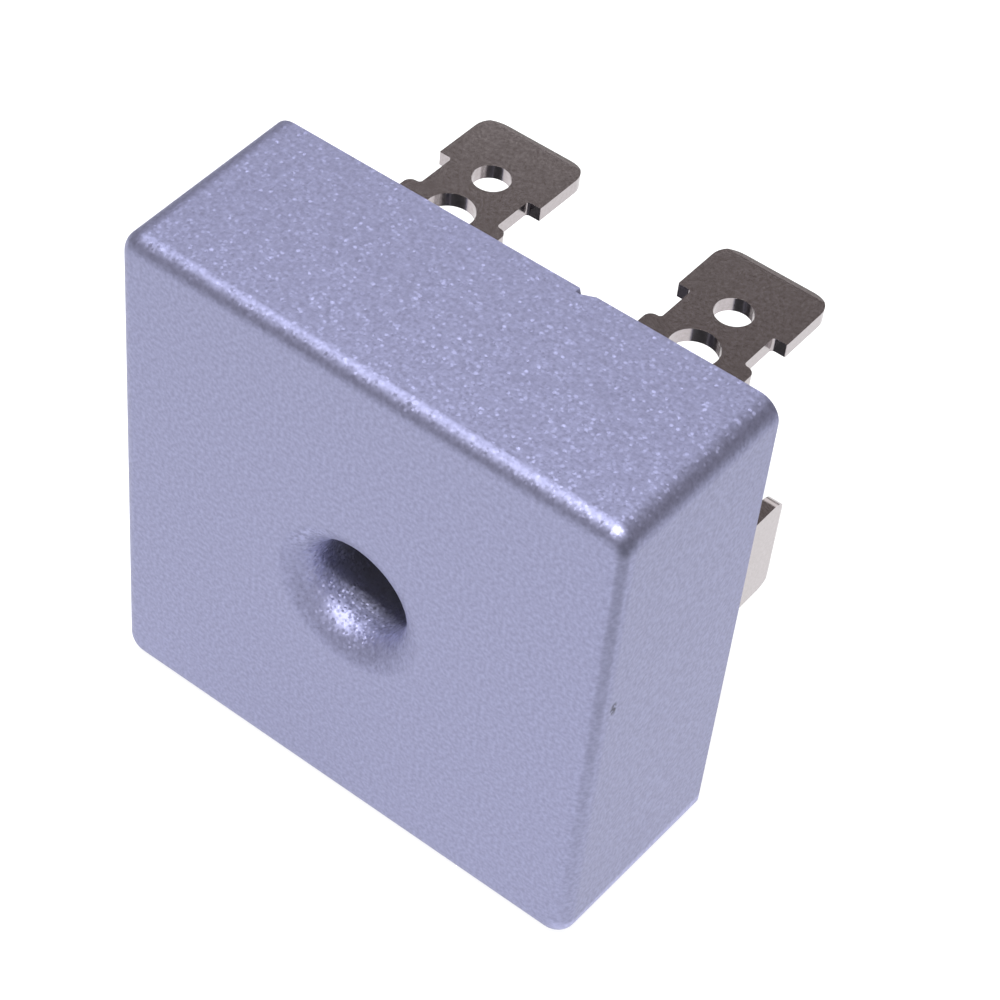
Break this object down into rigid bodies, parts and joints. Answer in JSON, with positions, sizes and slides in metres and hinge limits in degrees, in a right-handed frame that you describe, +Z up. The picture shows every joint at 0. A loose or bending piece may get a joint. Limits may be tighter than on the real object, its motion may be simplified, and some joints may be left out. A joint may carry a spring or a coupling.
{
  "type": "bridge rectifier",
  "caption": "Square metal-case bridge rectifier with a central screw hole through its mounting face and push-on blade terminals standing up from black potting.",
  "frame": {"origin": "centre of the mounting hole, on the plane of the flat mounting face", "axes": "+Y from the mounting face towards the terminals, along the screw; +X to the right and +Z up as seen from the mounting face, the positive terminal lying at +X and -Z"},
  "size_m": [0.0286, 0.0241, 0.0286],
  "materials": {
    "case_aluminium": "matt etched, fine grain",
    "black_epoxy": "satin cast resin",
    "plated_copper": "bright tin plating over copper",
    "silicone_bond": "matt",
    "alumina": "fired ceramic, stands in for alumina",
    "bare_copper": "bare rolled copper",
    "silicon": "glass-passivated silicon",
    "solder": "dull reflowed solder"
  },
  "bodies": {
    "root": {"case": "case_aluminium", "potting": "black_epoxy", "bond_layer": "silicone_bond", "insulator": "alumina", "positive_plate": "bare_copper", "ac_1_plate": "bare_copper", "ac_2_plate": "bare_copper", "negative_bridge": "bare_copper", "diode_1": "silicon", "diode_2": "silicon", "diode_3": "silicon", "diode_4": "silicon", "ac_1_strap": "bare_copper", "ac_2_strap": "bare_copper", "solder_under_chips": "solder", "solder_over_chips": "solder", "terminal_solder": "solder", "strap_solder": "solder", "positive_terminal": "plated_copper", "negative_terminal": "plated_copper", "ac_1_terminal": "plated_copper", "ac_2_terminal": "plated_copper"}
  },
  "joints": []
}
